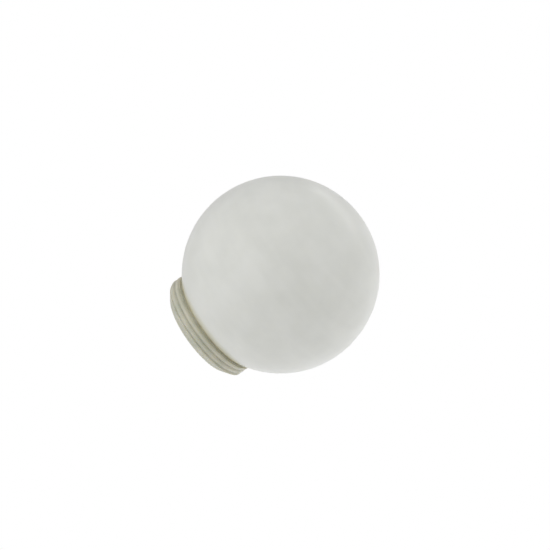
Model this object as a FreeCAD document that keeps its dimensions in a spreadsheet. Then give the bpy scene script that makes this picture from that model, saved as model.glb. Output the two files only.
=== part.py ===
import FreeCAD, Part
import itertools
import os

import Sketcher

# Opal ball globe with a screw neck, standing on the rim of its neck.
# The origin is the centre of the rim, +Z runs up the neck and through the ball.
# Three pieces: the hollow ball, the ring that carries the thread, and the ring
# of cured cement that joins them.

# Driving dimensions in millimetres: alias, value, what it is.
DIMENSIONS = (
    ("ball_radius", 75.0, "outside of the ball"),
    ("ball_wall", 1.8, "wall of the ball"),
    ("ball_centre", 79.0, "height of the ball's centre above the rim"),
    ("ball_mouth", 40.6, "radius of the hole cut in the ball"),
    ("glue_gap", 0.2, "cement film between ball and collar"),
    ("spigot_top", 18.8, "height of the collar's spigot, which enters the ball"),
    ("glue_top", 17.9, "height that the cement film reaches inside"),
    ("bore_radius", 38.6, "inside of the collar"),
    ("mouth_radius", 34.8, "clear opening through the turned-in lip"),
    ("lip_height", 3.0, "thickness of the turned-in lip"),
    ("inner_round", 3.0, "round between lip and bore"),
    ("root_radius", 42.4, "bottom of the thread"),
    ("thread_depth", 1.1, "crest above root"),
    ("thread_pitch", 4.1, "rise of the thread in one turn"),
    ("thread_turns", 4.75, "turns swept, both ends of them trimmed off"),
    ("thread_start", -2.45, "height of the crest where the sweep starts"),
    ("crest_round", 1.95, "radius of the rounded crest"),
    ("thread_bite", 0.2, "how far the crest's round goes into the wall"),
    ("thread_core", 40.5, "inside of the swept ridge, buried in the wall"),
    ("lead_in_core", 39.5, "inside of the lead-in cut, clear of the wall"),
    ("rim_radius", 36.15, "outside of the flat rim, where the end's cone starts"),
    ("cone_height", 5.45, "where the cone meets the bottom of the thread"),
    ("lead_in_gap", 0.35, "how far the crests stand off the cone"),
    ("relief_radius", 41.4, "bottom of the relief between thread and ball"),
    ("relief_height", 15.0, "where the thread ends under the relief"),
    ("bead_toe", 42.2, "how far out the cement bead reaches on the ball"),
    ("bead_foot", 15.5, "how far down the bead reaches on the collar"),
    ("tool_reach", 46.0, "outer limit of the turned cuts"),
    ("tool_depth", 8.0, "how far the turned cuts run past the ends"),
)
SIZE = {alias: value for alias, value, meaning in DIMENSIONS}
SHEET = "sizes"
TOUCH = 1e-6


def make_sheet(doc):
    """Writes the driving dimensions into a spreadsheet with aliases."""
    sheet = doc.addObject("Spreadsheet::Sheet", SHEET)
    for row, (alias, value, meaning) in enumerate(DIMENSIONS, start=1):
        sheet.set(f"A{row}", meaning)
        sheet.set(f"B{row}", str(value))
        sheet.setAlias(f"B{row}", alias)
    return sheet


def new_sketch(body, name):
    """Starts a sketch on the body's own XZ plane: x is radius, y is height."""
    sketch = body.newObject("Sketcher::SketchObject", name)
    planes = [item for item in body.Origin.OriginFeatures if item.Role == "XZ_Plane"]
    sketch.AttachmentSupport = [(planes[0], "")]
    sketch.MapMode = "FlatFace"
    return sketch


def line(start, end):
    """A straight side of an outline, between two (radius, height) points."""
    return Part.LineSegment(FreeCAD.Vector(*start, 0), FreeCAD.Vector(*end, 0))


def arc(centre, radius, start, end):
    """A round side of an outline, anticlockwise from start to end."""
    circle = Part.Circle(FreeCAD.Vector(*centre, 0), FreeCAD.Vector(0, 0, 1), radius)
    first = circle.parameter(FreeCAD.Vector(*start, 0))
    last = circle.parameter(FreeCAD.Vector(*end, 0))
    return Part.ArcOfCircle(circle, first, last)


def heading(side, end):
    """Direction of a side at its start (1) or its end (2)."""
    place = side.FirstParameter if end == 1 else side.LastParameter
    return side.tangent(place)[0]


def draw(sketch, sides):
    """Draws a closed outline: joins the ends that meet and squares the straight sides."""
    sketch.addGeometry(sides, False)
    ends = [(side, end) for side in range(len(sides)) for end in (1, 2)]
    for one, other in itertools.combinations(ends, 2):
        if not sketch.getPoint(*one).isEqual(sketch.getPoint(*other), TOUCH):
            continue
        turn = heading(sides[one[0]], one[1]).cross(heading(sides[other[0]], other[1]))
        kind = "Tangent" if turn.Length < TOUCH else "Coincident"
        sketch.addConstraint(Sketcher.Constraint(kind, *one, *other))
    for side, shape in enumerate(sides):
        if not isinstance(shape, Part.LineSegment):
            continue
        if abs(shape.StartPoint.x - shape.EndPoint.x) < TOUCH:
            sketch.addConstraint(Sketcher.Constraint("Vertical", side))
        elif abs(shape.StartPoint.y - shape.EndPoint.y) < TOUCH:
            sketch.addConstraint(Sketcher.Constraint("Horizontal", side))


def drive(sketch, kind, place, formula):
    """Adds a dimension at its drawn value and ties it to the sheet.

    Kind is "Radius" of a side, or "DistanceX" or "DistanceY" of a point from the origin.
    """
    if kind == "Radius":
        drawn = sketch.Geometry[place[0]].Radius
    else:
        point = sketch.getPoint(*place)
        drawn = point.x if kind == "DistanceX" else point.y
        place = (-1, 1) + place
    number = sketch.addConstraint(Sketcher.Constraint(kind, *place, drawn))
    name = f"{sketch.Name}_size_{number}"
    sketch.renameConstraint(number, name)
    sketch.setExpression(f"Constraints.{name}", formula)


def on_axis(sketch, *points):
    """Keeps points on the object's axis."""
    for point in points:
        sketch.addConstraint(Sketcher.Constraint("PointOnObject", *point, -2))


def turned(body, kind, name, sketch):
    """Adds a full turn of a sketch about the axis: a Revolution or a Groove."""
    feature = body.newObject(f"PartDesign::{kind}", name)
    feature.Profile = sketch
    feature.ReferenceAxis = (sketch, ["V_Axis"])
    feature.Angle = 360.0
    feature.Refine = False
    body.Document.recompute()
    return feature


def below_ball(radius, sphere_radius):
    """Height of the underside of a sphere about the ball's centre, at a radius."""
    return SIZE["ball_centre"] - (sphere_radius ** 2 - radius ** 2) ** 0.5


def make_globe(doc):
    """Hollow ball with a round hole cut in its underside."""
    outer = SIZE["ball_radius"]
    inner = outer - SIZE["ball_wall"]
    centre = (0, SIZE["ball_centre"])
    mouth = SIZE["ball_mouth"]
    outer_edge = (mouth, below_ball(mouth, outer))
    inner_edge = (mouth, below_ball(mouth, inner))
    outer_top = (0, SIZE["ball_centre"] + outer)
    inner_top = (0, SIZE["ball_centre"] + inner)

    body = doc.addObject("PartDesign::Body", "globe_shell")
    sketch = new_sketch(body, "globe_wall")
    draw(sketch, [
        arc(centre, outer, outer_edge, outer_top),
        line(outer_top, inner_top),
        arc(centre, inner, inner_edge, inner_top),
        line(inner_edge, outer_edge),
    ])
    on_axis(sketch, (0, 3), (0, 2))
    sketch.addConstraint(Sketcher.Constraint("Coincident", 0, 3, 2, 3))
    drive(sketch, "DistanceY", (0, 3), "sizes.ball_centre")
    drive(sketch, "Radius", (0,), "sizes.ball_radius")
    drive(sketch, "Radius", (2,), "sizes.ball_radius - sizes.ball_wall")
    drive(sketch, "DistanceX", (3, 1), "sizes.ball_mouth")
    turned(body, "Revolution", "globe_turn", sketch)
    return body


def make_collar(doc):
    """Screw neck: a turned sleeve with a rounded thread, a lead-in and a seat."""
    body = doc.addObject("PartDesign::Body", "threaded_collar")
    add_sleeve(body)
    add_thread(body)
    add_lead_in(body)
    add_seat(body)
    return body


def add_sleeve(body):
    """The ring without its thread, with a turned-in lip and a conical lower end."""
    root = SIZE["root_radius"]
    rim = SIZE["rim_radius"]
    cone = SIZE["cone_height"]
    bore = SIZE["bore_radius"]
    inner_round = SIZE["inner_round"]
    lip = SIZE["lip_height"]
    mouth = SIZE["mouth_radius"]
    top = SIZE["spigot_top"]
    inner_corner = (bore - inner_round, lip + inner_round)

    sketch = new_sketch(body, "sleeve_section")
    draw(sketch, [
        line((mouth, 0), (rim, 0)),
        line((rim, 0), (root, cone)),
        line((root, cone), (root, top)),
        line((root, top), (bore, top)),
        line((bore, top), (bore, lip + inner_round)),
        arc(inner_corner, inner_round, (bore - inner_round, lip), (bore, lip + inner_round)),
        line((bore - inner_round, lip), (mouth, lip)),
        line((mouth, lip), (mouth, 0)),
    ])
    sketch.addConstraint(Sketcher.Constraint("PointOnObject", 0, 1, -1))
    drive(sketch, "DistanceX", (0, 1), "sizes.mouth_radius")
    drive(sketch, "DistanceX", (1, 1), "sizes.rim_radius")
    drive(sketch, "DistanceY", (2, 1), "sizes.cone_height")
    drive(sketch, "DistanceX", (2, 1), "sizes.root_radius")
    drive(sketch, "DistanceY", (2, 2), "sizes.spigot_top")
    drive(sketch, "DistanceX", (4, 1), "sizes.bore_radius")
    drive(sketch, "Radius", (5,), "sizes.inner_round")
    drive(sketch, "DistanceY", (6, 2), "sizes.lip_height")
    turned(body, "Revolution", "sleeve_turn", sketch)


def add_thread(body):
    """Right-hand ridge with a rounded crest, swept past both ends of the thread."""
    crest = SIZE["root_radius"] + SIZE["thread_depth"]
    height = SIZE["thread_start"]
    crest_round = SIZE["crest_round"]
    base = SIZE["root_radius"] - SIZE["thread_bite"]
    inside = SIZE["thread_core"]
    centre = (crest - crest_round, height)
    half = (crest_round ** 2 - (base - centre[0]) ** 2) ** 0.5

    sketch = new_sketch(body, "ridge_section")
    draw(sketch, [
        arc(centre, crest_round, (base, height - half), (base, height + half)),
        line((base, height + half), (inside, height + half)),
        line((inside, height + half), (inside, height - half)),
        line((inside, height - half), (base, height - half)),
    ])
    drive(sketch, "Radius", (0,), "sizes.crest_round")
    drive(sketch, "DistanceX", (0, 3), "sizes.root_radius + sizes.thread_depth - sizes.crest_round")
    drive(sketch, "DistanceY", (0, 3), "sizes.thread_start")
    drive(sketch, "DistanceX", (0, 1), "sizes.root_radius - sizes.thread_bite")
    drive(sketch, "DistanceX", (0, 2), "sizes.root_radius - sizes.thread_bite")
    drive(sketch, "DistanceX", (2, 1), "sizes.thread_core")

    ridge = body.newObject("PartDesign::AdditiveHelix", "ridge")
    ridge.Profile = sketch
    ridge.ReferenceAxis = (sketch, ["V_Axis"])
    ridge.Mode = 1
    ridge.LeftHanded = False
    ridge.Refine = False
    ridge.setExpression("Pitch", "sizes.thread_pitch")
    ridge.setExpression("Turns", "sizes.thread_turns")
    body.Document.recompute()


def add_lead_in(body):
    """Trims the crests to a cone beside the end's own, which fades the thread out."""
    slope = SIZE["cone_height"] / (SIZE["root_radius"] - SIZE["rim_radius"])
    start = SIZE["rim_radius"] + SIZE["lead_in_gap"]
    inside = SIZE["lead_in_core"]
    crest = SIZE["root_radius"] + SIZE["thread_depth"]
    low = (inside - start) * slope
    high = (crest - start) * slope
    reach = SIZE["tool_reach"]
    under = -SIZE["tool_depth"]

    sketch = new_sketch(body, "lead_in_section")
    draw(sketch, [
        line((inside, low), (crest, high)),
        line((crest, high), (reach, high)),
        line((reach, high), (reach, under)),
        line((reach, under), (inside, under)),
        line((inside, under), (inside, low)),
    ])
    rise_formula = "sizes.cone_height / (sizes.root_radius - sizes.rim_radius)"
    drive(sketch, "DistanceX", (0, 1), "sizes.lead_in_core")
    drive(sketch, "DistanceX", (0, 2), "sizes.root_radius + sizes.thread_depth")
    low_reach = "(sizes.lead_in_core - sizes.rim_radius - sizes.lead_in_gap)"
    high_reach = "(sizes.root_radius + sizes.thread_depth - sizes.rim_radius - sizes.lead_in_gap)"
    drive(sketch, "DistanceY", (0, 1), f"{low_reach} * {rise_formula}")
    drive(sketch, "DistanceY", (0, 2), f"{high_reach} * {rise_formula}")
    drive(sketch, "DistanceX", (2, 1), "sizes.tool_reach")
    drive(sketch, "DistanceY", (2, 2), "-sizes.tool_depth")
    turned(body, "Groove", "lead_in", sketch)


def add_seat(body):
    """Cuts the ball's seat, the spigot's outside and the relief above the thread."""
    seat = SIZE["ball_radius"] + SIZE["glue_gap"]
    spigot = SIZE["ball_mouth"] - SIZE["glue_gap"]
    relief = SIZE["relief_radius"]
    floor = SIZE["relief_height"]
    reach = SIZE["tool_reach"]
    over = SIZE["spigot_top"] + SIZE["tool_depth"]
    centre = (0, SIZE["ball_centre"])
    inner_seat = (spigot, below_ball(spigot, seat))
    outer_seat = (relief, below_ball(relief, seat))

    sketch = new_sketch(body, "seat_section")
    draw(sketch, [
        line((spigot, over), inner_seat),
        arc(centre, seat, inner_seat, outer_seat),
        line(outer_seat, (relief, floor)),
        line((relief, floor), (reach, floor)),
        line((reach, floor), (reach, over)),
        line((reach, over), (spigot, over)),
    ])
    on_axis(sketch, (1, 3))
    drive(sketch, "DistanceY", (1, 3), "sizes.ball_centre")
    drive(sketch, "Radius", (1,), "sizes.ball_radius + sizes.glue_gap")
    drive(sketch, "DistanceX", (0, 1), "sizes.ball_mouth - sizes.glue_gap")
    drive(sketch, "DistanceX", (2, 1), "sizes.relief_radius")
    drive(sketch, "DistanceY", (2, 2), "sizes.relief_height")
    drive(sketch, "DistanceX", (4, 1), "sizes.tool_reach")
    drive(sketch, "DistanceY", (4, 2), "sizes.spigot_top + sizes.tool_depth")
    turned(body, "Groove", "seat", sketch)


def make_bead(doc):
    """Ring of cured cement: a film round the spigot and a bead in the relief."""
    ball = SIZE["ball_radius"]
    seat = ball + SIZE["glue_gap"]
    mouth = SIZE["ball_mouth"]
    spigot = mouth - SIZE["glue_gap"]
    relief = SIZE["relief_radius"]
    toe = SIZE["bead_toe"]
    top = SIZE["glue_top"]
    centre = (0, SIZE["ball_centre"])
    ball_edge = (mouth, below_ball(mouth, ball))
    ball_toe = (toe, below_ball(toe, ball))
    foot = (relief, SIZE["bead_foot"])
    outer_seat = (relief, below_ball(relief, seat))
    inner_seat = (spigot, below_ball(spigot, seat))

    body = doc.addObject("PartDesign::Body", "bond_bead")
    sketch = new_sketch(body, "bead_section")
    draw(sketch, [
        line((mouth, top), ball_edge),
        arc(centre, ball, ball_edge, ball_toe),
        line(ball_toe, foot),
        line(foot, outer_seat),
        arc(centre, seat, inner_seat, outer_seat),
        line(inner_seat, (spigot, top)),
        line((spigot, top), (mouth, top)),
    ])
    on_axis(sketch, (1, 3))
    sketch.addConstraint(Sketcher.Constraint("Coincident", 1, 3, 4, 3))
    drive(sketch, "DistanceY", (1, 3), "sizes.ball_centre")
    drive(sketch, "Radius", (1,), "sizes.ball_radius")
    drive(sketch, "Radius", (4,), "sizes.ball_radius + sizes.glue_gap")
    drive(sketch, "DistanceX", (0, 1), "sizes.ball_mouth")
    drive(sketch, "DistanceY", (0, 1), "sizes.glue_top")
    drive(sketch, "DistanceX", (5, 2), "sizes.ball_mouth - sizes.glue_gap")
    drive(sketch, "DistanceX", (1, 2), "sizes.bead_toe")
    drive(sketch, "DistanceX", (3, 1), "sizes.relief_radius")
    drive(sketch, "DistanceY", (3, 1), "sizes.bead_foot")
    turned(body, "Revolution", "bead_turn", sketch)
    return body


def check(doc, bodies):
    """Stops if any object failed, or any piece is not one valid solid."""
    for item in doc.Objects:
        if "Invalid" in item.State or "Error" in item.State:
            raise RuntimeError(f"{item.Name} failed: {item.State}")
        if item.TypeId == "Sketcher::SketchObject" and item.solve() != 0:
            raise RuntimeError(f"{item.Name} does not solve")
    for body in bodies:
        shape = body.Shape
        if shape.isNull() or not shape.isValid() or len(shape.Solids) != 1:
            raise RuntimeError(f"{body.Label} is not one valid solid")
        box = shape.optimalBoundingBox(False, False)
        print(
            f"{body.Label}: {shape.Volume / 1000:.2f} cm3,"
            f" {box.XLength:.2f} x {box.YLength:.2f} x {box.ZLength:.2f} mm,"
            f" z {box.ZMin:.2f} to {box.ZMax:.2f}"
        )


def main():
    """Builds the document, checks it and writes one STEP file for each piece."""
    doc = FreeCAD.newDocument("ball_globe")
    make_sheet(doc)
    bodies = [make_globe(doc), make_collar(doc), make_bead(doc)]
    doc.recompute()
    check(doc, bodies)
    os.makedirs("parts", exist_ok=True)
    for body in bodies:
        body.Shape.exportStep(f"parts/{body.Label}.step")


main()
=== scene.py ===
"""Opal ball globe on a short screw neck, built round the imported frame.

Three pieces make the shade: a blown ball of opal acrylic, a moulded neck ring
that carries a rounded thread, and the ring of cured cement that joins them.
All three are round about the object's axis, so one Geometry Nodes lathe turns
each of them from its half section, and raises the thread as it turns.
"""

import logging
import math
from dataclasses import dataclass
from enum import Enum
from typing import Any

import bpy
from mathutils import Matrix, Vector


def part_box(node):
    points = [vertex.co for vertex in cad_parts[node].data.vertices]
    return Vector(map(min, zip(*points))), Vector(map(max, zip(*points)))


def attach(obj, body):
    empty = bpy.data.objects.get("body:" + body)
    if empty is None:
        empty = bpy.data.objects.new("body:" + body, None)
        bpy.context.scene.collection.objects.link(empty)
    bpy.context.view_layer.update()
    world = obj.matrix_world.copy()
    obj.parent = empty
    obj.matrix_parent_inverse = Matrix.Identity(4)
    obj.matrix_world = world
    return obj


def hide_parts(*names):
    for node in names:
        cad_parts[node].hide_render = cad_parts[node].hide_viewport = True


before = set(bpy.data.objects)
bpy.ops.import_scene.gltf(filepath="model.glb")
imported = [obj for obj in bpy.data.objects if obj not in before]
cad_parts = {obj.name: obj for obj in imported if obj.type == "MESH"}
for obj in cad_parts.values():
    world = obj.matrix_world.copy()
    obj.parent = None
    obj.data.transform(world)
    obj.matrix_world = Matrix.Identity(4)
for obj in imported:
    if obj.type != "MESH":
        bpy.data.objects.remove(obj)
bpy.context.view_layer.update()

log = logging.getLogger("ball_globe")

MM = 0.001
SMALLEST = 2e-6  # metres
PMMA_IOR = 1.49
BODY = "root"

Point = tuple[float, float]
Colour = tuple[float, float, float, float]
Socket = bpy.types.NodeSocket

WHITE: Colour = (1.0, 1.0, 1.0, 1.0)

MATHS = "ShaderNodeMath"
VECTORS = "ShaderNodeVectorMath"
NOISE = "ShaderNodeTexNoise"
SPAN = "ShaderNodeMapRange"
BLEND = "ShaderNodeMix"
BUMP = "ShaderNodeBump"
COORDINATES = "ShaderNodeTexCoord"
PRINCIPLED = "ShaderNodeBsdfPrincipled"
OUTPUT = "ShaderNodeOutputMaterial"

# A SPAN node's inputs are, in order, a value, the range it comes from and the range it is taken to.
# A BLEND node's input 0 is the second part's share; its parts are values or, with data_type RGBA, colours.
VALUE_A = 2
VALUE_B = 3
COLOUR_A = 6
COLOUR_B = 7
COLOUR_OUT = 2

THREAD_ROOM = "thread_room"
THREADED = "threaded"
THREAD_HEIGHT = "thread_height"
LOOSE = "loose"


def srgb(code: str) -> Colour:
    """Turns a hex colour into the linear colour that Blender's sockets take.

    Args:
        code: sRGB colour such as "#D8D9D3".

    Returns:
        Linear red, green and blue, with an alpha of 1.
    """
    parts = [int(code[place : place + 2], 16) / 255.0 for place in (1, 3, 5)]
    linear = [p / 12.92 if p <= 0.04045 else ((p + 0.055) / 1.055) ** 2.4 for p in parts]
    return (linear[0], linear[1], linear[2], 1.0)


def add(
    tree: bpy.types.NodeTree,
    kind: str,
    inputs: dict[Any, Any] | None = None,
    out: str | int = 0,
    **settings: Any,
) -> Any:
    """Adds one node with its settings, values and links.

    Args:
        tree: The node tree to add to.
        kind: Blender's name for the node.
        inputs: Socket name or number, with a value or an output socket to link from.
        out: Name or number of the output to return.
        settings: Properties of the node itself, set before its inputs.

    Returns:
        The output socket, or None for a node that has no outputs.
    """
    node = tree.nodes.new(kind)
    for name, value in settings.items():
        setattr(node, name, value)
    for key, value in (inputs or {}).items():
        if isinstance(value, Socket):
            tree.links.new(value, node.inputs[key])
        else:
            node.inputs[key].default_value = value
    return node.outputs[out] if node.outputs else None


# ------------------------------------------------------------------- finishes


def per_metre(size: float) -> float:
    """Returns the texture scale at which a pattern has a size given in millimetres."""
    return 1.0 / (size * MM)


def blank_material(name: str) -> bpy.types.Material:
    """Makes a material with an empty node tree.

    Args:
        name: Name of the real material and its finish.

    Returns:
        The new material.
    """
    material = bpy.data.materials.new(name)
    material.use_nodes = True
    material.node_tree.nodes.clear()
    return material


@dataclass(frozen=True)
class OpalAcrylic:
    """Opal PMMA, blown to a ball and left as it came off the mould.

    The white pigment scatters light inside the wall, so the ball looks evenly
    lit with a milky depth, and the blown skin gives a soft satin gloss.

    Attributes:
        milk: Colour of the pigmented plastic.
        thin: Greyer colour where the blown wall is thinner.
        joint_shade: Painted shade beside the cement and the cream ring, a darker, yellower colour.
        dust: Colour of the few specks in the pigment.
        cloud: Size of the pigment clouds, in millimetres.
        sheen: Size of the glossier and duller patches, in millimetres.
        draw: Width of the draw lines that run round the ball, in millimetres.
        drawn_share: How much the draw lines count beside the clouds.
        peel: Size of the orange peel in the skin, in millimetres.
        peel_depth: Depth of the orange peel, in millimetres.
        specks: Distance between specks, in millimetres.
        patch: Size of the patches in the painted joint shade, in millimetres.
        gloss: Roughness where the skin is glossiest and dullest.
        reach: How far light travels inside the plastic, in millimetres.
        joint_shade_heights: Heights where the painted shade is strongest and where it ends, in millimetres.
    """

    milk: str = "#EFF0EA"
    thin: str = "#E8E9E3"
    joint_shade: str = "#CEC8A2"
    dust: str = "#A8A498"
    cloud: float = 26.0
    sheen: float = 15.6
    draw: float = 7.0
    drawn_share: float = 0.25
    peel: float = 1.8
    peel_depth: float = 0.02
    specks: float = 21.0
    patch: float = 7.0
    gloss: Point = (0.28, 0.36)
    reach: float = 2.5
    joint_shade_heights: Point = (17.2, 23.4)

    def make(self) -> bpy.types.Material:
        """Makes the finish's node tree.

        Returns:
            The material.
        """
        material = blank_material("opal_acrylic_blown_satin")
        tree = material.node_tree
        place = add(tree, COORDINATES, out="Object")
        tone = self._pigment(tree, place)
        tone = self._paint_joint_shade(tree, place, tone)
        rough = add(tree, NOISE, {"Vector": place, "Scale": per_metre(self.sheen), "Detail": 4.0})
        skin = add(tree, NOISE, {"Vector": place, "Scale": per_metre(self.peel), "Detail": 2.0})
        glossiest, dullest = self.gloss
        peel = {"Strength": 0.25, "Distance": self.peel_depth * MM, "Height": skin}
        inputs = {
            "Base Color": tone,
            "Roughness": add(tree, SPAN, {0: rough, 1: 0.3, 2: 0.7, 3: glossiest, 4: dullest}),
            "IOR": PMMA_IOR,
            "Subsurface Weight": 1.0,
            "Subsurface Radius": (1.0, 0.98, 0.92),
            "Subsurface Scale": self.reach * MM,
            "Normal": add(tree, BUMP, peel),
        }
        add(tree, OUTPUT, {"Surface": add(tree, PRINCIPLED, inputs)})
        return material

    def _pigment(self, tree: bpy.types.NodeTree, place: Socket) -> Socket:
        """Makes the plastic's own colour: pigment clouds, draw lines and specks.

        Args:
            tree: The material's node tree.
            place: The piece's own coordinates.

        Returns:
            The colour's socket.
        """
        clouds = add(tree, NOISE, {"Vector": place, "Scale": per_metre(self.cloud), "Detail": 3.0})
        along = add(tree, "ShaderNodeMapping", {"Vector": place, "Scale": (0.12, 0.12, 1.0)})
        drawn = add(tree, NOISE, {"Vector": along, "Scale": per_metre(self.draw), "Detail": 2.0})
        share = add(tree, BLEND, {0: self.drawn_share, VALUE_A: clouds, VALUE_B: drawn})
        share = add(tree, SPAN, {0: share, 1: 0.35, 2: 0.65})
        colours = {0: share, COLOUR_A: srgb(self.milk), COLOUR_B: srgb(self.thin)}
        tone = add(tree, BLEND, colours, COLOUR_OUT, data_type="RGBA")
        cells = add(tree, "ShaderNodeTexVoronoi", {"Vector": place, "Scale": per_metre(self.specks)})
        speck = add(tree, SPAN, {0: cells, 1: 0.008, 2: 0.004, 3: 0.0, 4: 0.08})
        colours = {0: speck, COLOUR_A: tone, COLOUR_B: srgb(self.dust)}
        return add(tree, BLEND, colours, COLOUR_OUT, data_type="RGBA")

    def _paint_joint_shade(self, tree: bpy.types.NodeTree, place: Socket, tone: Socket) -> Socket:
        """Lays painted shade, darker and yellower, over the colour; it fades out above the joint.

        Args:
            tree: The material's node tree.
            place: The piece's own coordinates.
            tone: The colour without the painted shade.

        Returns:
            The colour's socket.
        """
        # Painted shade: the ball is laid darker and yellower just above the joint, where the neck shades
        # it.
        height = add(tree, "ShaderNodeSeparateXYZ", {0: place}, "Z")
        strong, clear = self.joint_shade_heights
        joint_shade_fade = add(tree, SPAN, {0: height, 1: strong * MM, 2: clear * MM, 3: 0.8, 4: 0.0})
        uneven = add(tree, NOISE, {"Vector": place, "Scale": per_metre(self.patch), "Detail": 3.0})
        uneven = add(tree, SPAN, {0: uneven, 1: 0.3, 2: 0.7, 3: 0.7, 4: 1.0})
        share = add(tree, MATHS, {0: joint_shade_fade, 1: uneven}, operation="MULTIPLY")
        colours = {0: share, COLOUR_A: tone, COLOUR_B: srgb(self.joint_shade)}
        return add(tree, BLEND, colours, COLOUR_OUT, data_type="RGBA")


@dataclass(frozen=True)
class CreamAcrylic:
    """Cream opal PMMA, injection moulded and unpolished.

    The thick ring is denser and yellower than the thin ball. Its crests are laid
    lighter, wear with painted highlight, and its grooves darker, dust with painted shade.

    Attributes:
        cream: Colour of the moulded ring.
        olive: Duller, greener colour of its thicker parts.
        rubbed_and_lit: Lighter colour of the crests, wear with painted highlight.
        dust_and_shade: Colour of the dust and painted shade in the grooves.
        flow: Size of the moulding's flow marks, in millimetres.
        sheen: Size of the glossier and duller patches, in millimetres.
        patch: Size of the patches of dust and painted shade, in millimetres.
        grain: Size of the fine matt grain, in millimetres.
        grain_depth: Depth of the grain, in millimetres.
        gloss: Roughness where the surface is glossiest and dullest.
        reach: How far light travels inside the plastic, in millimetres.
        dust_and_shade_heights: Heights between which the grooves' dust and painted shade grow from faint to
            full, in millimetres.
    """

    cream: str = "#D3D0BF"
    olive: str = "#C3C4B2"
    rubbed_and_lit: str = "#D8D6C7"
    dust_and_shade: str = "#A09B80"
    flow: float = 11.0
    sheen: float = 3.0
    patch: float = 4.0
    grain: float = 0.6
    grain_depth: float = 0.02
    gloss: Point = (0.34, 0.48)
    reach: float = 1.2
    dust_and_shade_heights: Point = (4.0, 10.0)

    def make(self) -> bpy.types.Material:
        """Makes the finish's node tree.

        Returns:
            The material.
        """
        material = blank_material("cream_acrylic_moulded_satin")
        tree = material.node_tree
        place = add(tree, COORDINATES, out="Object")
        rough = add(tree, NOISE, {"Vector": place, "Scale": per_metre(self.sheen), "Detail": 3.0})
        grain = add(tree, NOISE, {"Vector": place, "Scale": per_metre(self.grain), "Detail": 2.0})
        glossiest, dullest = self.gloss
        matt = {"Strength": 0.3, "Distance": self.grain_depth * MM, "Height": grain}
        inputs = {
            "Base Color": self._wear_dust_and_painted_light(tree, place),
            "Roughness": add(tree, SPAN, {0: rough, 1: 0.3, 2: 0.7, 3: glossiest, 4: dullest}),
            "IOR": PMMA_IOR,
            "Subsurface Weight": 0.6,
            "Subsurface Radius": (1.0, 0.85, 0.6),
            "Subsurface Scale": self.reach * MM,
            "Normal": add(tree, BUMP, matt),
        }
        add(tree, OUTPUT, {"Surface": add(tree, PRINCIPLED, inputs)})
        return material

    def _wear_dust_and_painted_light(self, tree: bpy.types.NodeTree, place: Socket) -> Socket:
        """Makes the ring's colour: flow marks, crests lighter with wear and painted highlight, and grooves
        darker with dust and painted shade.

        Args:
            tree: The material's node tree.
            place: The piece's own coordinates.

        Returns:
            The colour's socket.
        """
        flow = add(tree, NOISE, {"Vector": place, "Scale": per_metre(self.flow), "Detail": 3.0})
        flow = add(tree, SPAN, {0: flow, 1: 0.35, 2: 0.65})
        colours = {0: flow, COLOUR_A: srgb(self.cream), COLOUR_B: srgb(self.olive)}
        tone = add(tree, BLEND, colours, COLOUR_OUT, data_type="RGBA")
        height = add(tree, "ShaderNodeAttribute", out="Fac", attribute_name=THREAD_HEIGHT)
        threaded = add(tree, "ShaderNodeAttribute", out="Fac", attribute_name=THREADED)
        # Painted highlight with wear: the crests are laid lighter.
        crest = add(tree, SPAN, {0: height, 1: 0.6, 2: 1.0, 3: 0.0, 4: 0.35})
        colours = {0: crest, COLOUR_A: tone, COLOUR_B: srgb(self.rubbed_and_lit)}
        tone = add(tree, BLEND, colours, COLOUR_OUT, data_type="RGBA")
        # Painted shade with dust: the grooves are laid darker, and fainter towards the rim.
        groove_dust_and_shade = add(tree, SPAN, {0: height, 1: 0.35, 2: 0.0})
        groove_dust_and_shade = add(tree, MATHS, {0: groove_dust_and_shade, 1: threaded}, operation="MULTIPLY")
        patchy = add(tree, NOISE, {"Vector": place, "Scale": per_metre(self.patch), "Detail": 3.0})
        patchy = add(tree, SPAN, {0: patchy, 1: 0.3, 2: 0.7, 3: 0.15, 4: 0.5})
        low, high = self.dust_and_shade_heights
        up = add(tree, "ShaderNodeSeparateXYZ", {0: place}, "Z")
        dust_and_shade_by_height = add(tree, SPAN, {0: up, 1: low * MM, 2: high * MM, 3: 0.1, 4: 1.0})
        groove_dust_and_shade = add(tree, MATHS, {0: groove_dust_and_shade, 1: dust_and_shade_by_height}, operation="MULTIPLY")
        dust_and_shade_share = add(tree, MATHS, {0: groove_dust_and_shade, 1: patchy}, operation="MULTIPLY")
        colours = {0: dust_and_shade_share, COLOUR_A: tone, COLOUR_B: srgb(self.dust_and_shade)}
        return add(tree, BLEND, colours, COLOUR_OUT, data_type="RGBA")


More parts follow.
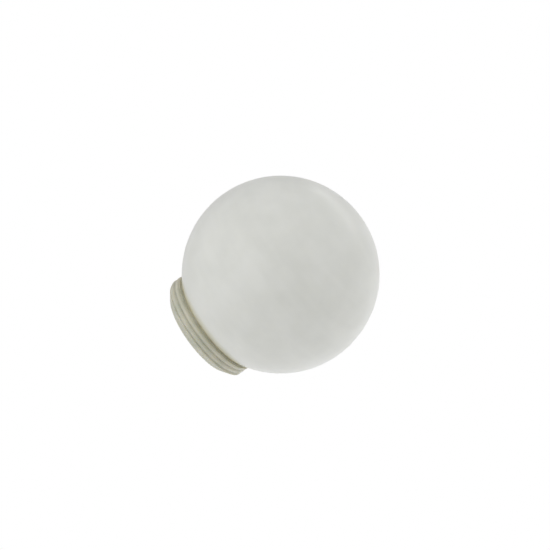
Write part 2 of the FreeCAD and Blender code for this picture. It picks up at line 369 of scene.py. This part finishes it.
@dataclass(frozen=True)
class AcrylicCement:
    """Solvent cement for PMMA, run round the joint and cured.

    It dries clear amber and glossy, with small bubbles, and darkens the seam.

    Attributes:
        amber: Colour of the cured cement.
        thick: Browner colour where more of it ran.
        run: Size of the places where more of it ran, in millimetres.
        sheen: Size of the glossier and duller patches, in millimetres.
        bubble: Size of its bubbles, in millimetres.
        bubble_depth: Depth of the bubbles, in millimetres.
        gloss: Roughness where the surface is glossiest and dullest.
        ior: Index of refraction.
        reach: How far light travels inside it, in millimetres.
    """

    amber: str = "#CBC3A6"
    thick: str = "#B3AA8C"
    run: float = 6.0
    sheen: float = 1.5
    bubble: float = 0.9
    bubble_depth: float = 0.06
    gloss: Point = (0.12, 0.24)
    ior: float = 1.48
    reach: float = 0.8

    def make(self) -> bpy.types.Material:
        """Makes the finish's node tree.

        Returns:
            The material.
        """
        material = blank_material("acrylic_cement_cured_gloss")
        tree = material.node_tree
        place = add(tree, COORDINATES, out="Object")
        run = add(tree, NOISE, {"Vector": place, "Scale": per_metre(self.run), "Detail": 3.0})
        run = add(tree, SPAN, {0: run, 1: 0.35, 2: 0.65})
        colours = {0: run, COLOUR_A: srgb(self.amber), COLOUR_B: srgb(self.thick)}
        tone = add(tree, BLEND, colours, COLOUR_OUT, data_type="RGBA")
        rough = add(tree, NOISE, {"Vector": place, "Scale": per_metre(self.sheen), "Detail": 2.0})
        bubbles = add(tree, NOISE, {"Vector": place, "Scale": per_metre(self.bubble), "Detail": 3.0})
        glossiest, dullest = self.gloss
        foam = {"Strength": 0.6, "Distance": self.bubble_depth * MM, "Height": bubbles}
        inputs = {
            "Base Color": tone,
            "Roughness": add(tree, SPAN, {0: rough, 1: 0.3, 2: 0.7, 3: glossiest, 4: dullest}),
            "IOR": self.ior,
            "Subsurface Weight": 0.4,
            "Subsurface Radius": (1.0, 0.8, 0.4),
            "Subsurface Scale": self.reach * MM,
            "Normal": add(tree, BUMP, foam),
        }
        add(tree, OUTPUT, {"Surface": add(tree, PRINCIPLED, inputs)})
        return material


# -------------------------------------------------------------------- sections


@dataclass
class Station:
    """One point of a half section, in millimetres.

    Attributes:
        radius: Distance from the axis.
        height: Height above the rim.
        room: How high the thread may stand here.
        loose: Share of the piece's unevenness that shows here.
    """

    radius: float
    height: float
    room: float = 0.0
    loose: float = 1.0


def arc_points(centre: Point, radius: float, start: float, end: float, steps: int) -> list[Point]:
    """Divides an arc into points.

    Args:
        centre: Radius and height of the arc's centre, in millimetres.
        radius: Radius of the arc, in millimetres.
        start: Angle from the outward direction, in radians, anticlockwise.
        end: Angle at the far end.
        steps: Number of chords.

    Returns:
        The points, both ends included.
    """
    angles = [start + (end - start) * step / steps for step in range(steps + 1)]
    return [(centre[0] + radius * math.cos(a), centre[1] + radius * math.sin(a)) for a in angles]


def rounded(corners: list[tuple[float, float, float]], steps: int) -> list[Point]:
    """Rounds the corners of a closed outline.

    Args:
        corners: Radius, height and round of each corner, in millimetres.
        steps: Number of chords in each round.

    Returns:
        The outline's points, without the first repeated.
    """
    points: list[Point] = []
    for place, (radius, height, bend) in enumerate(corners):
        here = Vector((radius, height))
        if bend == 0.0:
            points.append((radius, height))
            continue
        back = (Vector(corners[place - 1][:2]) - here).normalized()
        ahead = (Vector(corners[(place + 1) % len(corners)][:2]) - here).normalized()
        half = back.angle(ahead) / 2.0
        centre = here + (back + ahead).normalized() * bend / math.sin(half)
        first = here + back * bend / math.tan(half) - centre
        last = here + ahead * bend / math.tan(half) - centre
        start = math.atan2(first.y, first.x)
        sweep = first.angle_signed(last)
        points += arc_points((centre.x, centre.y), bend, start, start - sweep, steps)
    return points


def divided(points: list[Point], longest: float) -> list[Point]:
    """Closes an outline and divides its long sides.

    Args:
        points: The outline's points, in millimetres.
        longest: Longest side that may stay, in millimetres.

    Returns:
        The points, ending with the first one again.
    """
    result: list[Point] = [points[0]]
    for (r0, z0), (r1, z1) in zip(points, points[1:] + points[:1]):
        pieces = max(1, math.ceil(math.hypot(r1 - r0, z1 - z0) / longest))
        result += [(r0 + (r1 - r0) * k / pieces, z0 + (z1 - z0) * k / pieces) for k in range(1, pieces + 1)]
    return result


# ----------------------------------------------------------------------- lathe


@dataclass(frozen=True)
class Thread:
    """A rounded screw thread, in millimetres.

    Attributes:
        pitch: Rise in one turn, right-handed.
        depth: Crest above root.
        crest_round: Radius of the rounded crest.
        crest_height: Height of a crest where the thread crosses +X.
        valley_blend: How softly crest and valley run together.
    """

    pitch: float = 4.1
    depth: float = 1.1
    crest_round: float = 1.95
    crest_height: float = 5.75
    valley_blend: float = 0.12


@dataclass(frozen=True)
class Unevenness:
    """How far a made surface wanders from true, in millimetres.

    Attributes:
        size: Distance from one swell to the next.
        height: Height of a swell.
        seed: Picks one of many patterns.
    """

    size: float
    height: float
    seed: float


class Lathe:
    """Turns half sections about the object's axis with Geometry Nodes.

    The section comes in as a line of points in the XZ plane. The tree lays a
    grid over the turn and the section, reads each grid point's station, lifts
    it by the thread, lets it wander a little, and puts it round the axis.
    """

    def __init__(self) -> None:
        """Builds the node tree once, for every piece."""
        self.tree = bpy.data.node_groups.new("lathe_with_thread", "GeometryNodeTree")
        self.sockets: dict[str, str] = {}
        self._socket("Section", "NodeSocketGeometry")
        self._socket("Turn Steps", "NodeSocketInt")
        for name in ("Pitch", "Depth", "Crest Round", "Crest Height", "Valley Blend"):
            self._socket(name, "NodeSocketFloat")
        for name in ("Swell Size", "Swell Height", "Swell Seed"):
            self._socket(name, "NodeSocketFloat")
        self._socket("Finish", "NodeSocketMaterial")
        self.tree.interface.new_socket("Piece", in_out="OUTPUT", socket_type="NodeSocketGeometry")
        self._build()

    def _socket(self, name: str, kind: str) -> None:
        """Adds a named input and keeps the identifier that a modifier sets it by."""
        item = self.tree.interface.new_socket(name, in_out="INPUT", socket_type=kind)
        self.sockets[name] = item.identifier

    def _build(self) -> None:
        """Lays out the tree's nodes."""
        tree = self.tree
        given = add(tree, "NodeGroupInput").node.outputs
        size = {0: given["Section"]}
        count = add(tree, "GeometryNodeAttributeDomainSize", size, "Point Count", component="MESH")
        around = add(tree, MATHS, {0: given["Turn Steps"], 1: 1.0}, operation="ADD")
        piece = add(tree, "GeometryNodeMeshGrid", {"Vertices X": around, "Vertices Y": count}, "Mesh")
        index = add(tree, "GeometryNodeInputIndex")
        inside = add(tree, MATHS, {0: index, 1: 0.5}, operation="ADD")
        turned = add(tree, MATHS, {0: inside, 1: count}, operation="DIVIDE")
        column = add(tree, MATHS, {0: turned}, operation="FLOOR")
        passed = add(tree, MATHS, {0: column, 1: count}, operation="MULTIPLY")
        row = add(tree, MATHS, {0: index, 1: passed}, operation="SUBTRACT")
        share = add(tree, MATHS, {0: column, 1: given["Turn Steps"]}, operation="DIVIDE")

        point = {"Geometry": given["Section"], "Index": row}
        read: dict[str, Socket] = {}
        for name, kind in (("position", "FLOAT_VECTOR"), (THREAD_ROOM, "FLOAT"), (LOOSE, "FLOAT")):
            value = add(tree, "GeometryNodeInputNamedAttribute", {"Name": name}, data_type=kind)
            read[name] = add(tree, "GeometryNodeSampleIndex", {**point, "Value": value}, data_type=kind)
        parts = add(tree, "ShaderNodeSeparateXYZ", {0: read["position"]}).node.outputs
        fill = self._thread_share(given, share, parts["Z"])
        lift = add(tree, MATHS, {0: fill, 1: read[THREAD_ROOM]}, operation="MULTIPLY")
        radius = add(tree, MATHS, {0: parts["X"], 1: lift}, operation="ADD")
        place = self._round_axis(radius, share, parts["Z"])
        wander = self._wander(given, place, read[LOOSE])
        final = add(tree, VECTORS, {0: place, 1: wander}, operation="ADD")

        depth = add(tree, MATHS, {0: given["Depth"], 1: SMALLEST}, operation="MAXIMUM")
        stood = add(tree, MATHS, {0: lift, 1: depth}, operation="DIVIDE")
        ridged = add(tree, MATHS, {0: read[THREAD_ROOM], 1: SMALLEST}, operation="GREATER_THAN")
        for name, value in ((THREAD_HEIGHT, stood), (THREADED, ridged)):
            stored = {"Geometry": piece, "Name": name, "Value": value}
            piece = add(tree, "GeometryNodeStoreNamedAttribute", stored, data_type="FLOAT")
        piece = add(tree, "GeometryNodeSetPosition", {"Geometry": piece, "Position": final})
        piece = add(tree, "GeometryNodeMergeByDistance", {"Geometry": piece, "Distance": SMALLEST})
        piece = add(tree, "GeometryNodeSetShadeSmooth", {"Geometry": piece})
        piece = add(tree, "GeometryNodeRealizeInstances", {"Geometry": piece})
        piece = add(tree, "GeometryNodeSetMaterial", {"Geometry": piece, "Material": given["Finish"]})
        add(tree, "NodeGroupOutput", {"Piece": piece})

    def _round_axis(self, radius: Socket, share: Socket, height: Socket) -> Socket:
        """Puts a point of the section at its place round the axis.

        Args:
            radius: Distance from the axis.
            share: Part of the full turn, 0 to 1.
            height: Height above the rim.

        Returns:
            The place, as a vector.
        """
        tree = self.tree
        angle = add(tree, MATHS, {0: share, 1: math.tau}, operation="MULTIPLY")
        cosine = add(tree, MATHS, {0: angle}, operation="COSINE")
        sine = add(tree, MATHS, {0: angle}, operation="SINE")
        x = add(tree, MATHS, {0: radius, 1: cosine}, operation="MULTIPLY")
        y = add(tree, MATHS, {0: radius, 1: sine}, operation="MULTIPLY")
        return add(tree, "ShaderNodeCombineXYZ", {"X": x, "Y": y, "Z": height})

    def _thread_share(self, given: Any, share: Socket, height: Socket) -> Socket:
        """Works out how much of the thread's room its rounded crest fills.

        Args:
            given: The tree's inputs.
            share: Part of the full turn, 0 to 1.
            height: Height of the station.

        Returns:
            A value from 0 in the valleys to 1 on the crests.
        """
        tree = self.tree
        rise = {0: given["Pitch"], 1: share, 2: given["Crest Height"]}
        crest = add(tree, MATHS, rise, operation="MULTIPLY_ADD")
        over = add(tree, MATHS, {0: height, 1: crest}, operation="SUBTRACT")
        turns = add(tree, MATHS, {0: over, 1: given["Pitch"]}, operation="DIVIDE")
        whole = add(tree, MATHS, {0: turns}, operation="ROUND")
        part = add(tree, MATHS, {0: turns, 1: whole}, operation="SUBTRACT")
        across = add(tree, MATHS, {0: part, 1: given["Pitch"]}, operation="MULTIPLY")
        squared = add(tree, MATHS, {0: across, 1: 2.0}, operation="POWER")
        bend = add(tree, MATHS, {0: given["Crest Round"], 1: 2.0}, operation="POWER")
        inside = add(tree, MATHS, {0: bend, 1: squared}, operation="SUBTRACT")
        inside = add(tree, MATHS, {0: inside, 1: 0.0}, operation="MAXIMUM")
        circle = add(tree, MATHS, {0: inside}, operation="SQRT")
        sunk = add(tree, MATHS, {0: circle, 1: given["Crest Round"]}, operation="SUBTRACT")
        above = add(tree, MATHS, {0: sunk, 1: given["Depth"]}, operation="ADD")
        soft = add(tree, MATHS, {0: above, 1: 0.0, 2: given["Valley Blend"]}, operation="SMOOTH_MAX")
        depth = add(tree, MATHS, {0: given["Depth"], 1: SMALLEST}, operation="MAXIMUM")
        return add(tree, MATHS, {0: soft, 1: depth}, operation="DIVIDE")

    def _wander(self, given: Any, place: Socket, loose: Socket) -> Socket:
        """Works out how far each point strays from true.

        Args:
            given: The tree's inputs.
            place: The point's true place, the same all round the seam.
            loose: Share of the unevenness that the station takes.

        Returns:
            The stray, as a vector.
        """
        tree = self.tree
        scale = add(tree, MATHS, {0: 1.0, 1: given["Swell Size"]}, operation="DIVIDE")
        swell = {"Vector": place, "W": given["Swell Seed"], "Scale": scale, "Detail": 1.0}
        colour = add(tree, NOISE, swell, "Color", noise_dimensions="4D")
        centred = add(tree, VECTORS, {0: colour, 1: (0.5, 0.5, 0.5)}, operation="SUBTRACT")
        reach = add(tree, MATHS, {0: given["Swell Height"], 1: loose}, operation="MULTIPLY")
        return add(tree, VECTORS, {0: centred, "Scale": reach}, operation="SCALE")

    def turn(
        self,
        name: str,
        stations: list[Station],
        steps: int,
        finish: bpy.types.Material,
        uneven: Unevenness,
        thread: Thread | None = None,
    ) -> bpy.types.Object:
        """Turns one piece and leaves it as a plain mesh.

        Args:
            name: Name of the piece.
            stations: Half section, anticlockwise, so that faces point outwards.
            steps: Number of steps round the turn.
            finish: Material of the piece.
            uneven: How far the surface wanders.
            thread: The thread, for a piece that has one.

        Returns:
            The piece, at the origin, with its place in its mesh.
        """
        section = bpy.data.meshes.new(name + "_section")
        points = [(s.radius * MM, 0.0, s.height * MM) for s in stations]
        edges = [(k, k + 1) for k in range(len(points) - 1)]
        section.from_pydata(points, edges, [])
        layers = {THREAD_ROOM: [s.room * MM for s in stations], LOOSE: [s.loose for s in stations]}
        for label, values in layers.items():
            layer = section.attributes.new(label, "FLOAT", "POINT")
            layer.data.foreach_set("value", values)
        blank = bpy.data.objects.new(name + "_blank", section)
        bpy.context.scene.collection.objects.link(blank)
        cut = thread or Thread(depth=0.0)
        modifier = blank.modifiers.new("turned", "NODES")
        modifier.node_group = self.tree
        inputs = {
            "Turn Steps": steps,
            "Pitch": cut.pitch * MM,
            "Depth": cut.depth * MM,
            "Crest Round": cut.crest_round * MM,
            "Crest Height": cut.crest_height * MM,
            "Valley Blend": cut.valley_blend * MM,
            "Swell Size": uneven.size * MM,
            "Swell Height": uneven.height * MM,
            "Swell Seed": uneven.seed,
            "Finish": finish,
        }
        for label, value in inputs.items():
            modifier[self.sockets[label]] = value
        bpy.context.view_layer.update()
        graph = bpy.context.evaluated_depsgraph_get()
        mesh = bpy.data.meshes.new_from_object(blank.evaluated_get(graph))
        mesh.name = name
        bpy.data.objects.remove(blank)
        bpy.data.meshes.remove(section)
        piece = bpy.data.objects.new(name, mesh)
        bpy.context.scene.collection.objects.link(piece)
        return piece


# ---------------------------------------------------------------------- pieces


class Slot(Enum):
    """Material slots of the record."""

    SHELL = "opal_shell"
    COLLAR = "cream_collar"
    CEMENT = "cement"


def heights(node: str) -> Point:
    """Returns the lowest and the highest height of a node in the frame, in millimetres."""
    low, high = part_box(node)
    return low.z / MM, high.z / MM


def dress(piece: bpy.types.Object, node: str) -> bpy.types.Object:
    """Puts a finished piece in place of its node and reports it.

    Args:
        piece: The piece.
        node: The node that it stands for.

    Returns:
        The same piece.
    """
    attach(piece, BODY)
    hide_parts(node)
    bottom, top = heights(node)
    faces = len(piece.data.polygons)
    log.info("%s: %d faces, for %s, from %.1f to %.1f mm", piece.name, faces, node, bottom, top)
    return piece


@dataclass
class Ball:
    """The blown ball: an even wall with a round mouth cut in its underside.

    Attributes:
        node: The node that it stands for.
        radius: Outside radius, in millimetres.
        wall: Thickness of the wall.
        mouth: Radius of the mouth.
        settled: Heights where the wall starts to wander and where it may wander fully.
        steps: Chords from mouth to crown.
        turn_steps: Chords round the ball.
    """

    node: str = "globe_shell"
    radius: float = 75.0
    wall: float = 1.8
    mouth: float = 40.6
    settled: Point = (20.0, 45.0)
    steps: int = 150
    turn_steps: int = 240

    @property
    def centre(self) -> float:
        """Height of the ball's centre, one radius under the node's crown."""
        return heights(self.node)[1] - self.radius

    def underside(self, radius: float, clear: float = 0.0) -> float:
        """Finds the height of the ball's underside, or of a surface clear of it.

        Args:
            radius: Distance from the axis, in millimetres.
            clear: Gap between the ball and the surface.

        Returns:
            The height, in millimetres.
        """
        return self.centre - math.sqrt((self.radius + clear) ** 2 - radius**2)

    def evenness(self, height: float) -> float:
        """Returns how far the ball may wander at a height: not at all at its joint."""
        joint, free = self.settled
        return min(1.0, max(0.0, (height - joint) / (free - joint)))

    def section(self) -> list[Station]:
        """Draws the half section, from the inner crown down and back up outside.

        Returns:
            The section's stations.
        """
        points: list[Point] = []
        for radius, upwards in ((self.radius - self.wall, False), (self.radius, True)):
            edge = -math.acos(self.mouth / radius)
            side = arc_points((0.0, self.centre), radius, edge, math.pi / 2.0, self.steps)
            points += side if upwards else side[::-1]
        return [Station(max(r, 0.0), z, loose=self.evenness(z)) for r, z in points]

    def build(self, lathe: Lathe) -> bpy.types.Object:
        """Turns the ball and dresses it.

        Args:
            lathe: The lathe that turns it.

        Returns:
            The finished piece.
        """
        swell = Unevenness(size=34.0, height=0.25, seed=3.0)
        piece = lathe.turn("opal_ball", self.section(), self.turn_steps, OpalAcrylic().make(), swell)
        return dress(piece, self.node)


@dataclass
class Collar:
    """The screw neck: turned-in lip, threaded wall, relief, seat and spigot.

    Attributes:
        node: The node that it stands for.
        mouth: Radius of the opening, in millimetres.
        bore: Inside radius of the wall.
        root: Radius at the bottom of the thread.
        rim: Outside radius of the flat rim, where the end's cone starts.
        cone: Height where the cone meets the bottom of the thread.
        lead_in: How far the crests stand off the cone.
        lip: Thickness of the turned-in lip.
        inner_round: Round between lip and bore.
        relief: Radius at the bottom of the relief.
        shoulder: Height where the thread ends under the relief.
        seat: Heights of the seat at the relief and at the spigot.
        spigot: Outside radius of the spigot.
        edge: Small round of the moulded edges.
        rim_round: Round of the rim's outer edge.
        cone_round: Round where the cone meets the thread.
        relief_round: Round at the top of the relief.
        near_wall: How far inside the outer wall a station still counts as on it.
        under_shoulder: How far under the shoulder the thread ends.
        chord: Longest side of the section.
        round_steps: Chords in each round.
        turn_steps: Chords round the collar.
        thread: Its thread.
    """

    node: str = "threaded_collar"
    mouth: float = 34.8
    bore: float = 38.6
    root: float = 42.4
    rim: float = 36.15
    cone: float = 5.45
    lead_in: float = 0.35
    lip: float = 3.0
    inner_round: float = 3.0
    relief: float = 41.4
    shoulder: float = 15.0
    seat: Point = (16.22, 15.57)
    spigot: float = 40.4
    edge: float = 0.35
    rim_round: float = 0.6
    cone_round: float = 1.5
    relief_round: float = 0.25
    near_wall: float = 0.5
    under_shoulder: float = 0.02
    chord: float = 0.3
    round_steps: int = 14
    turn_steps: int = 360
    thread: Thread = Thread()

    def room(self, radius: float, height: float) -> float:
        """Works out how high the thread may stand at a station.

        The crests stay inside a cone beside the end's own, and fade out on it.

        Args:
            radius: Distance of the station from the axis, in millimetres.
            height: Height of the station.

        Returns:
            The room for the thread, in millimetres.
        """
        flare = self.rim + (self.root - self.rim) * height / self.cone
        outside = radius > min(flare, self.root) - self.near_wall
        below = height < self.shoulder - self.under_shoulder
        if not outside or not below or height < self.edge:
            return 0.0
        fade = min(1.0, height / (self.cone / 2.0))
        return max(0.0, min(self.thread.depth, flare + self.lead_in * fade - radius))

    def section(self) -> list[Station]:
        """Draws the half section, anticlockwise from the mouth's lower edge.

        Returns:
            The section's stations.
        """
        rim, top = heights(self.node)
        corners = [
            (self.mouth, rim, self.edge),
            (self.rim, rim, self.rim_round),
            (self.root, self.cone, self.cone_round),
            (self.root, self.shoulder, self.edge),
            (self.relief, self.shoulder, self.relief_round),
            (self.relief, self.seat[0], 0.0),
            (self.spigot, self.seat[1], 0.0),
            (self.spigot, top, self.edge),
            (self.bore, top, self.edge),
            (self.bore, self.lip, self.inner_round),
            (self.mouth, self.lip, self.edge),
        ]
        points = divided(rounded(corners, self.round_steps), self.chord)
        return [Station(r, z, room=self.room(r, z), loose=0.0) for r, z in points]

    def build(self, lathe: Lathe) -> bpy.types.Object:
        """Turns the collar with its thread and dresses it.

        Args:
            lathe: The lathe that turns it.

        Returns:
            The finished piece.
        """
        true = Unevenness(size=20.0, height=0.0, seed=0.0)
        finish = CreamAcrylic().make()
        piece = lathe.turn("screw_neck", self.section(), self.turn_steps, finish, true, self.thread)
        return dress(piece, self.node)


@dataclass
class CementRing:
    """The ring of cement: a film on the seat and the spigot, and a bead outside.

    Attributes:
        ball: The ball it wets.
        collar: The collar it wets.
        node: The node that it stands for.
        toe: How far out the bead reaches on the ball, in millimetres.
        sag: How far the bead's open face hangs in and up from straight.
        clear: How far that face keeps from the collar and from the ball.
        chord: Longest side of the section.
        turn_steps: Chords round the ring.
    """

    ball: Ball
    collar: Collar
    node: str = "bond_bead"
    toe: float = 42.2
    sag: Point = (0.12, 0.10)
    clear: Point = (0.1, 0.05)
    chord: float = 0.15
    turn_steps: int = 300

    def on_bead(self, radius: float, height: float) -> bool:
        """Returns whether a point is on the bead's open face, clear of ball and collar."""
        beside, below = self.clear
        return radius > self.collar.relief + beside and height < self.ball.underside(radius) - below

    def section(self) -> list[Station]:
        """Draws the half section, anticlockwise from the bead's foot.

        Returns:
            The section's stations.
        """
        foot, top = heights(self.node)
        ball, relief, spigot = self.ball, self.collar.relief, self.collar.spigot
        film = ball.mouth - spigot
        brow = ball.underside(self.toe)
        inward, upward = self.sag
        outline = [
            (relief, foot),
            ((relief + self.toe) / 2.0 - inward, (foot + brow) / 2.0 + upward),
            (self.toe, brow),
            (ball.mouth, ball.underside(ball.mouth)),
            (ball.mouth, top),
            (spigot, top),
            (spigot, ball.underside(spigot, film)),
            (relief, ball.underside(relief, film)),
        ]
        stations = divided(outline, self.chord)
        return [Station(r, z, loose=float(self.on_bead(r, z))) for r, z in stations]

    def build(self, lathe: Lathe) -> bpy.types.Object:
        """Turns the ring and dresses it.

        Args:
            lathe: The lathe that turns it.

        Returns:
            The finished piece.
        """
        run = Unevenness(size=5.0, height=0.35, seed=11.0)
        piece = lathe.turn("cement_ring", self.section(), self.turn_steps, AcrylicCement().make(), run)
        return dress(piece, self.node)


# ---------------------------------------------------------------------- studio


@dataclass(frozen=True)
class Softbox:
    """A long soft light that faces the ball.

    Attributes:
        name: Name of the light.
        start: Direction from the ball to one end of it.
        end: Direction from the ball to its other end.
        distance: How far away it stands, in metres.
        width: Width across its length, in metres.
        watts: Power.
    """

    name: str
    start: tuple[float, float, float]
    end: tuple[float, float, float]
    distance: float
    width: float
    watts: float

    def build(self, aim: Vector) -> bpy.types.Object:
        """Hangs the light and aims it.

        Args:
            aim: What the light faces, in metres.

        Returns:
            The light.
        """
        first = Vector(self.start).normalized()
        last = Vector(self.end).normalized()
        away = (first + last).normalized()
        along = (last - first).normalized()
        light = bpy.data.lights.new(self.name, "AREA")
        light.shape = "RECTANGLE"
        light.size = (last - first).length * self.distance
        light.size_y = self.width
        light.energy = self.watts
        holder = bpy.data.objects.new(self.name, light)
        turn = Matrix((along, away.cross(along), away)).transposed().to_4x4()
        holder.matrix_world = Matrix.Translation(aim + away * self.distance) @ turn
        holder.visible_camera = False
        bpy.context.scene.collection.objects.link(holder)
        return holder


@dataclass(frozen=True)
class Camera:
    """A camera that looks down a little on the ball and leans over to its right.

    Attributes:
        distance: From the camera to the ball's centre, in metres.
        elevation: Height of the view above the neck's plane, in degrees.
        lean: How far the neck swings to the left of straight down, in degrees.
        ball_share: Radius of the ball's outline over the frame's width.
        offset: Where the ball's centre lies right of and above the frame's centre, as shares of the width.
    """

    distance: float = 1.5
    elevation: float = 15.5
    lean: float = 54.25
    ball_share: float = 0.1799
    offset: tuple[float, float] = (0.0102, 0.0008)

    def build(self, aim: Vector, radius: float) -> bpy.types.Object:
        """Places the camera.

        Args:
            aim: Centre of the ball, in metres.
            radius: Radius of the ball, in metres.

        Returns:
            The camera, already set as the scene's own.
        """
        tilt = math.radians(self.elevation)
        lean = math.radians(self.lean)
        ahead = Vector((0.0, math.cos(tilt), -math.sin(tilt)))
        level = Vector((1.0, 0.0, 0.0))
        upright = level.cross(ahead)
        right = level * math.cos(lean) + upright * math.sin(lean)
        above = upright * math.cos(lean) - level * math.sin(lean)
        outline = radius / math.sqrt(self.distance**2 - radius**2)
        data = bpy.data.cameras.new("camera")
        data.lens = self.ball_share / outline * data.sensor_width
        width = self.distance * data.sensor_width / data.lens
        centre = aim - ahead * self.distance
        centre -= right * self.offset[0] * width + above * self.offset[1] * width
        turn = Matrix((right, above, -ahead)).transposed().to_4x4()
        camera = bpy.data.objects.new("camera", data)
        camera.matrix_world = Matrix.Translation(centre) @ turn
        bpy.context.scene.collection.objects.link(camera)
        bpy.context.scene.camera = camera
        return camera


@dataclass(frozen=True)
class Studio:
    """A white room with soft light from all round, brighter on one side.

    Attributes:
        ambient: Brightness of the room.
        slope: How much brighter the room is towards each of +X, +Y and +Z.
        cross: How much brighter it is at the back right and the front left.
        behind: How much more of that there is behind the ball than in front of it.
        floor_size: Side of the floor, in metres.
        floor_gap: How far the floor lies under the rim, in metres.
    """

    ambient: float = 0.755
    slope: tuple[float, float, float] = (0.035, 0.0, -0.04)
    cross: float = 0.62
    behind: float = 0.08
    floor_size: float = 60.0
    floor_gap: float = 0.0003

    def build(self, aim: Vector) -> None:
        """Sets up the room, the floor and the lights.

        Args:
            aim: What the lights face, in metres.
        """
        bpy.context.scene.view_settings.view_transform = "Standard"
        self._room()
        self._floor()
        window = Softbox(
            name="tall_window",
            start=(-0.42, 0.79, 0.40),
            end=(0.08, 0.53, 0.84),
            distance=1.2,
            width=0.08,
            watts=0.85,
        )
        window.build(aim)

    def _room(self) -> None:
        """Lights the room from all round, and shows it white."""
        world = bpy.data.worlds.new("white_room")
        world.use_nodes = True
        tree = world.node_tree
        tree.nodes.clear()
        direction = add(tree, COORDINATES, out="Generated")
        parts = add(tree, "ShaderNodeSeparateXYZ", {0: direction}).node.outputs
        lean = add(tree, VECTORS, {0: direction, 1: self.slope}, "Value", operation="DOT_PRODUCT")
        base = add(tree, MATHS, {0: lean, 1: self.ambient}, operation="ADD")
        corner = add(tree, MATHS, {0: parts["X"], 1: parts["Y"]}, operation="MULTIPLY")
        depth = {0: parts["Y"], 1: self.behind, 2: self.cross}
        amount = add(tree, MATHS, depth, operation="MULTIPLY_ADD")
        glow = add(tree, MATHS, {0: corner, 1: amount, 2: base}, operation="MULTIPLY_ADD")
        soft = add(tree, "ShaderNodeBackground", {"Color": WHITE, "Strength": glow})
        white = add(tree, "ShaderNodeBackground", {"Color": WHITE, "Strength": 1.0})
        seen = add(tree, "ShaderNodeLightPath", out="Is Camera Ray")
        both = add(tree, "ShaderNodeMixShader", {0: seen, 1: soft, 2: white})
        add(tree, "ShaderNodeOutputWorld", {"Surface": both})
        bpy.context.scene.world = world

    def _floor(self) -> None:
        """Lays a plain white floor that is clear from below."""
        half = self.floor_size / 2.0
        depth = -self.floor_gap
        mesh = bpy.data.meshes.new("floor")
        corners = [(-half, -half, depth), (half, -half, depth), (half, half, depth), (-half, half, depth)]
        mesh.from_pydata(corners, [], [(0, 1, 2, 3)])
        material = blank_material("white_floor")
        tree = material.node_tree
        back = add(tree, "ShaderNodeNewGeometry", out="Backfacing")
        white = add(tree, "ShaderNodeEmission", {"Color": WHITE, "Strength": 1.0})
        clear = add(tree, "ShaderNodeBsdfTransparent")
        both = add(tree, "ShaderNodeMixShader", {0: back, 1: white, 2: clear})
        add(tree, OUTPUT, {"Surface": both})
        mesh.materials.append(material)
        floor = bpy.data.objects.new("floor", mesh)
        for ray in ("diffuse", "glossy", "transmission", "volume_scatter", "shadow"):
            setattr(floor, f"visible_{ray}", False)
        bpy.context.scene.collection.objects.link(floor)


def main() -> None:
    """Builds the pieces, then the studio and the camera round them."""
    logging.basicConfig(level=logging.INFO, format="%(name)s: %(message)s")
    lathe = Lathe()
    ball = Ball()
    collar = Collar()
    cement = CementRing(ball, collar)
    for part in (ball, collar, cement):
        part.build(lathe)
    aim = Vector((0.0, 0.0, ball.centre * MM))
    Studio().build(aim)
    Camera().build(aim, ball.radius * MM)


if __name__ == "__main__":
    main()
